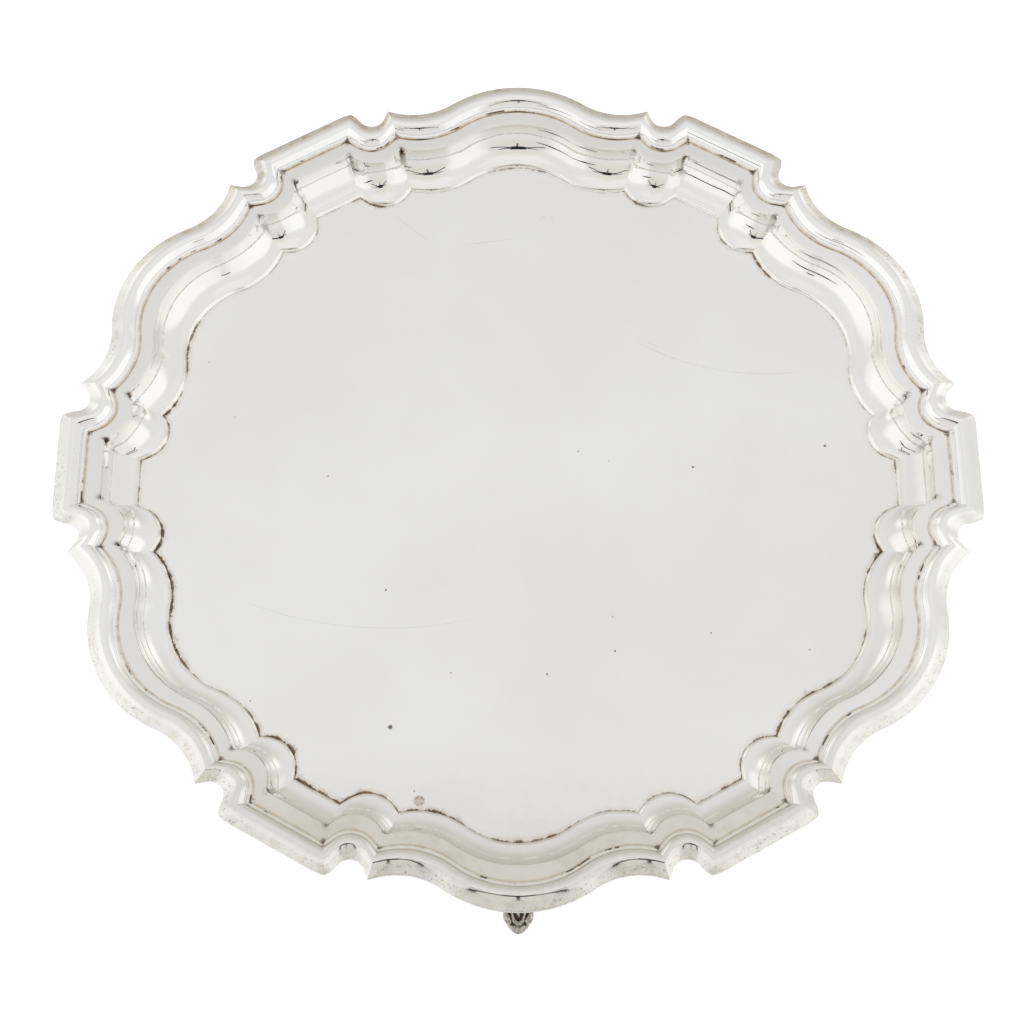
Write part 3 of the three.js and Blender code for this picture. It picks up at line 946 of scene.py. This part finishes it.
def moulding_material():
    """Cast border: bright inside its crest, matter and a little yellow on its outer face, with painted
    shade at its front.
    """
    material, n = new_material("cast_border")
    place = n.place()
    _, y, _ = n.parts(place)
    across, uv = n.across()
    corner = n.stored("corner_run")
    fine, _, patches, grain = n.wear_noises(place)
    outer = n.ramp(across, (CREST_ACROSS + 1.2) * MM, (CREST_ACROSS + 3.4) * MM)
    farther = n.ramp(y, 0.03, 0.13)

    foot = n.product(n.ramp(across, 0.0014, 0.0005), n.ramp(grain, 0.38, 0.62, 0.35, 0.8))
    in_corner = n.ramp(n.math("ADD", corner, across), 0.0026, 0.0010)
    foot_corner = n.product(in_corner, n.ramp(grain, 0.40, 0.54), 0.85)
    dashes = n.product(n.near(across, 0.0008, 0.0006), n.ramp(n.noise(place, 150.0, 3.0), 0.59, 0.64))
    chips = n.product(n.most(outer, 0.25), n.ramp(fine, 0.57, 0.68), n.ramp(patches, 0.42, 0.60), 0.55)
    dark = n.most(foot_corner, dashes, chips)

    streaks = n.noise(n.mapped(uv, (420, 160, 1)), 1.0, 4.0, 0.75)
    plain = n.math("SUBTRACT", 1.0, n.product(farther, 0.6))
    rubbed = n.total(n.product(streaks, farther, 0.6), n.product(grain, plain))
    off_middle = n.ramp(n.math("ABSOLUTE", y), 0.05, 0.12, 0.35, 1.0)
    yellow = n.total(n.ramp(rubbed, 0.40, 0.70, 0.25, 0.65), n.product(farther, 0.35))
    yellow = n.product(outer, off_middle, yellow)
    # Painted shade: the border's front is tinted sallow and darker, for the dark front of the room that
    # it mirrors.
    painted_front_shade = n.product(n.ramp(y, -0.06, -0.13, 0.0, 0.50), n.ramp(grain, 0.35, 0.60, 0.75, 1.0),
                          n.ramp(outer, 0.0, 1.0, 1.0, 0.5))
    film_and_shade = n.math("MINIMUM", n.most(yellow, painted_front_shade), 0.95)
    grubby = n.product(outer, n.ramp(grain, 0.48, 0.60), n.ramp(patches, 0.38, 0.55),
                       n.total(0.25, farther), 0.5)

    colour = n.mix(film_and_shade, SILVER, SALLOW)
    colour = n.mix(n.most(foot, grubby), colour, BROWN)
    colour = n.mix(dark, colour, TARNISH)
    matter = n.ramp(outer, 0.0, 1.0, 0.06, 0.26)
    roughness = n.total(n.product(dark, 0.3), matter, n.product(foot, 0.2))
    height = n.total(n.product(n.noise(place, 75.0, 2.0), 2.6), n.product(outer, rubbed, 0.18),
                     n.product(fine, 0.02))
    n.metal(colour, roughness, height, 0.00005)
    return material


def foot_material():
    """Cast silver with dark patina in its hollows and rubbed bright on its ridges."""
    material, n = new_material("cast_foot")
    place = n.place()
    fine = n.noise(place, 1400.0, 4.0, 0.65)
    recess = n.math("ADD", n.stored("recess"), n.product(n.math("SUBTRACT", fine, 0.5), 0.35))
    patina = n.ramp(recess, 0.42, 0.64)
    worn = n.mix(n.ramp(fine, 0.35, 0.65), WORN_RIDGE, GREY_RIDGE)
    colour = n.mix(patina, worn, PATINA)
    n.metal(colour, n.ramp(patina, 0.0, 1.0, 0.20, 0.5), fine, 0.00012)
    return material


# ---------------------------------------------------------------- the salver
# Where the arris, the crease and the crest lie along their profiles, for the materials.
profile_top = sheet_profile()[0]
top_runs = run_along(profile_top)
ARRIS_ACROSS = float(top_runs[np.argmin(np.abs(profile_top[:, 0] - ARRIS))])
on_flange = slice(-FLANGE_STEPS - 1, None)
CREASE_ACROSS = float(np.interp(CREASE, profile_top[on_flange, 0], top_runs[on_flange]))
border_profile = moulding_profile()
CREST_ACROSS = float(run_along(border_profile)[np.argmax(border_profile[:, 1])])


def build_salver():
    add_piece("raised_sheet", sheet_mesh(), [sheet_material()], ["salver_body"])
    cast = moulding_material()
    for sector in range(SECTORS):
        number = sector + 1
        lengths = {
            "bar": f"border_bar_{number}",
            "lobe": f"border_lobe_{number}",
            "notch_near": f"border_notch_{number}_near",
            "notch_far": f"border_notch_{number}_far",
        }
        for stretch, node in lengths.items():
            name = f"moulding_{stretch}_{number}"
            add_piece(name, moulding_mesh(name, stretch, sector), [cast], [node])
    finish = foot_material()
    casting = foot_mesh()
    for node, angle in FOOT_ANGLES.items():
        mesh = casting.copy()
        mesh.transform(Matrix.Rotation(math.radians(angle), 4, "Z"))
        add_piece(f"cast_{node}", mesh, [finish], [node])


# ---------------------------------------------------------------- camera
CAMERA_ELEVATION = 63.05
CAMERA_DISTANCE = 0.8428
CAMERA_TARGET = Vector((-0.0020, -0.0164, FLANGE_TOP * MM))
LENS = 90.56


def place_camera():
    elevation = math.radians(CAMERA_ELEVATION)
    toward_camera = Vector((0, -math.cos(elevation), math.sin(elevation)))
    camera = bpy.data.objects.new("camera", bpy.data.cameras.new("camera"))
    camera.data.lens = LENS
    camera.data.clip_end = 20
    camera.location = CAMERA_TARGET + toward_camera * CAMERA_DISTANCE
    camera.rotation_euler = (math.radians(90 - CAMERA_ELEVATION), 0, 0)
    bpy.context.scene.collection.objects.link(camera)
    bpy.context.scene.camera = camera
    return np.array(camera.location) / MM


# ---------------------------------------------------------------- stage and light
def stage_object(name, mesh, material):
    thing = bpy.data.objects.new(name, mesh)
    bpy.context.scene.collection.objects.link(thing)
    mesh.materials.append(material)
    return thing


FLOOR_HALF = 3.0
FLOOR_GLOW = 0.86
FLOOR_GREY = (0.30, 0.30, 0.30, 1)


def lay_floor():
    """A pale floor that glows a little, so the salver's shadow stays faint."""
    corners = [(x * FLOOR_HALF, y * FLOOR_HALF, 0) for x, y in ((-1, -1), (1, -1), (1, 1), (-1, 1))]
    mesh = bpy.data.meshes.new("floor")
    mesh.from_pydata(corners, [], [(0, 1, 2, 3)])
    paper, n = new_material("paper")
    emission = n.add("ShaderNodeEmission")
    n.put(emission.inputs["Strength"], FLOOR_GLOW)
    diffuse = n.add("ShaderNodeBsdfDiffuse")
    n.put(diffuse.inputs["Color"], FLOOR_GREY)
    both = n.add("ShaderNodeAddShader")
    n.put(both.inputs[0], emission.outputs[0])
    n.put(both.inputs[1], diffuse.outputs[0])
    output = n.add("ShaderNodeOutputMaterial")
    n.put(output.inputs["Surface"], both.outputs[0])
    floor = stage_object("floor", mesh, paper)
    floor.visible_glossy = False


# The dark things outside the view that the silver mirrors, in millimetres. The camera's parts
# are (start, end, radii, sides) from its eye, and those in RIG_ARMS are repeated on both sides.
LENS_LENGTH = 60
LENS_RADIUS = 60
RIG_BODY = ((-75, 0, -5), (75, 0, -5), (88, 88), 8)
RIG_COLUMN = ((0, -60, -50), (0, -170, -240), (13, 9), 8)
RIG_ARMS = (
    ((60, 0, -5), (240, 0, -10), (30, 14), 8),
    ((70, -20, -10), (320, -130, -130), (22, 14), 8),
    ((320, -130, -130), (365, -145, -140), (24, 20), 8),
)
LAMP_ARM = np.array([-560.0, -640.0, 520.0])
LAMP_ARM_REACH = np.array([210.0, -190.0, 20.0])
RIG_BLACK = (0.02, 0.022, 0.03, 1)


def add_camera_rig(eye):
    """The dark camera, its arms and column, and a lamp arm, seen only as reflections."""
    solid = Solid()
    lens_end = eye + (CAMERA_TARGET / MM - Vector(eye)).normalized() * LENS_LENGTH
    solid.add_tube([eye, lens_end], (LENS_RADIUS, LENS_RADIUS), 20)
    for start, end, radii, sides in (RIG_BODY, RIG_COLUMN):
        solid.add_tube([eye + start, eye + end], radii, sides)
    for way in (-1, 1):
        side = np.array([way, 1, 1])
        for start, end, radii, sides in RIG_ARMS:
            solid.add_tube([eye + start * side, eye + end * side], radii, sides)
    lamp_arm = [LAMP_ARM - LAMP_ARM_REACH, LAMP_ARM, LAMP_ARM + LAMP_ARM_REACH]
    solid.add_tube(lamp_arm, (14, 44, 20), 12)
    black, n = new_material("black_rig")
    diffuse = n.add("ShaderNodeBsdfDiffuse")
    n.put(diffuse.inputs["Color"], RIG_BLACK)
    output = n.add("ShaderNodeOutputMaterial")
    n.put(output.inputs["Surface"], diffuse.outputs[0])
    rig = stage_object("camera_rig", solid.mesh("camera_rig"), black)
    rig.visible_camera = False
    rig.visible_diffuse = False
    rig.visible_shadow = False


# The room's even light, and what each region adds to it or takes from it.
ROOM = 0.81
SIDE_GLOW = 0.18
SIDE_CORE = 0.06
TABLE_GLOW = 0.24
WINDOW_GLOW = 0.30
OVERHEAD_GLOW = 0.03
ZENITH_GLOW = 0.06
FAR_SHADE = 0.15
FRONT_SHADE = 0.04
WARM_WHITE = (1.0, 0.98, 0.93)


def light_room():
    """Soft white light all round, brighter at both sides and overhead, with a window's glow at
    the far side, and plain white to the camera. In any direction, z is the sine of its height
    and far goes from 1 toward +Y to -1 toward -Y."""
    world = bpy.data.worlds.new("studio")
    bpy.context.scene.world = world
    world.use_nodes = True
    n = Nodes(world.node_tree)
    direction = n.add("ShaderNodeTexCoord").outputs["Generated"]
    x, y, z = n.parts(direction)
    level = n.math("SQRT", n.total(n.product(x, x), n.product(y, y), 0.0001))
    far = n.math("DIVIDE", y, level)

    spread = n.total(far, n.ramp(x, 0.10, -0.30, 0.0, -0.17))
    side = n.product(n.ramp(spread, 0.46, 0.20), n.ramp(far, -0.90, -0.74),
                     n.ramp(z, 0.90, 0.72), n.ramp(z, -0.80, -0.50))
    core = n.product(n.ramp(far, 0.40, 0.20), n.ramp(far, -0.62, -0.40),
                     n.ramp(z, 0.82, 0.70), n.ramp(z, -0.55, -0.35))
    table = n.product(n.ramp(z, 0.12, -0.12), n.ramp(far, 0.90, 0.55), n.ramp(far, -0.95, -0.55))
    window = n.product(n.near(far, 0.76, 0.22), n.ramp(z, 0.46, 0.20), n.ramp(z, -0.15, 0.0))
    behind = n.product(n.ramp(far, 0.74, 0.93), n.ramp(z, 0.84, 0.10))
    front = n.product(n.ramp(far, -0.65, -1.0), n.ramp(z, 0.1, 0.6))
    strength = n.total(
        ROOM,
        n.most(n.product(side, SIDE_GLOW), n.product(table, TABLE_GLOW)),
        n.product(core, SIDE_CORE),
        n.product(n.ramp(z, 0.80, 0.89), OVERHEAD_GLOW),
        n.product(n.ramp(z, 0.95, 0.985), ZENITH_GLOW),
        n.product(window, WINDOW_GLOW),
        n.product(behind, -FAR_SHADE),
        n.product(front, -FRONT_SHADE),
    )
    tint = n.mix(n.most(behind, front), (1, 1, 1), WARM_WHITE)
    seen = n.add("ShaderNodeLightPath").outputs["Is Camera Ray"]
    shader = n.add("ShaderNodeBackground")
    n.put(shader.inputs["Strength"], n.most(strength, seen))
    n.put(shader.inputs["Color"], n.mix(seen, tint, (1, 1, 1)))
    output = n.add("ShaderNodeOutputWorld")
    n.put(output.inputs["Surface"], shader.outputs[0])


SOFTBOX_HEIGHT = 2.0
SOFTBOX_WIDTH = 2.5
SOFTBOX_POWER = 20


def hang_softbox():
    """A square area light that the silver doesn't mirror; the room's glow is what it shows."""
    light = bpy.data.lights.new("overhead", "AREA")
    light.size = SOFTBOX_WIDTH
    light.energy = SOFTBOX_POWER
    lamp = bpy.data.objects.new("overhead", light)
    lamp.location = (0, 0, SOFTBOX_HEIGHT)
    lamp.visible_camera = False
    lamp.visible_glossy = False
    bpy.context.scene.collection.objects.link(lamp)


build_salver()
add_camera_rig(place_camera())
lay_floor()
light_room()
hang_softbox()
bpy.context.scene.view_settings.view_transform = "Standard"
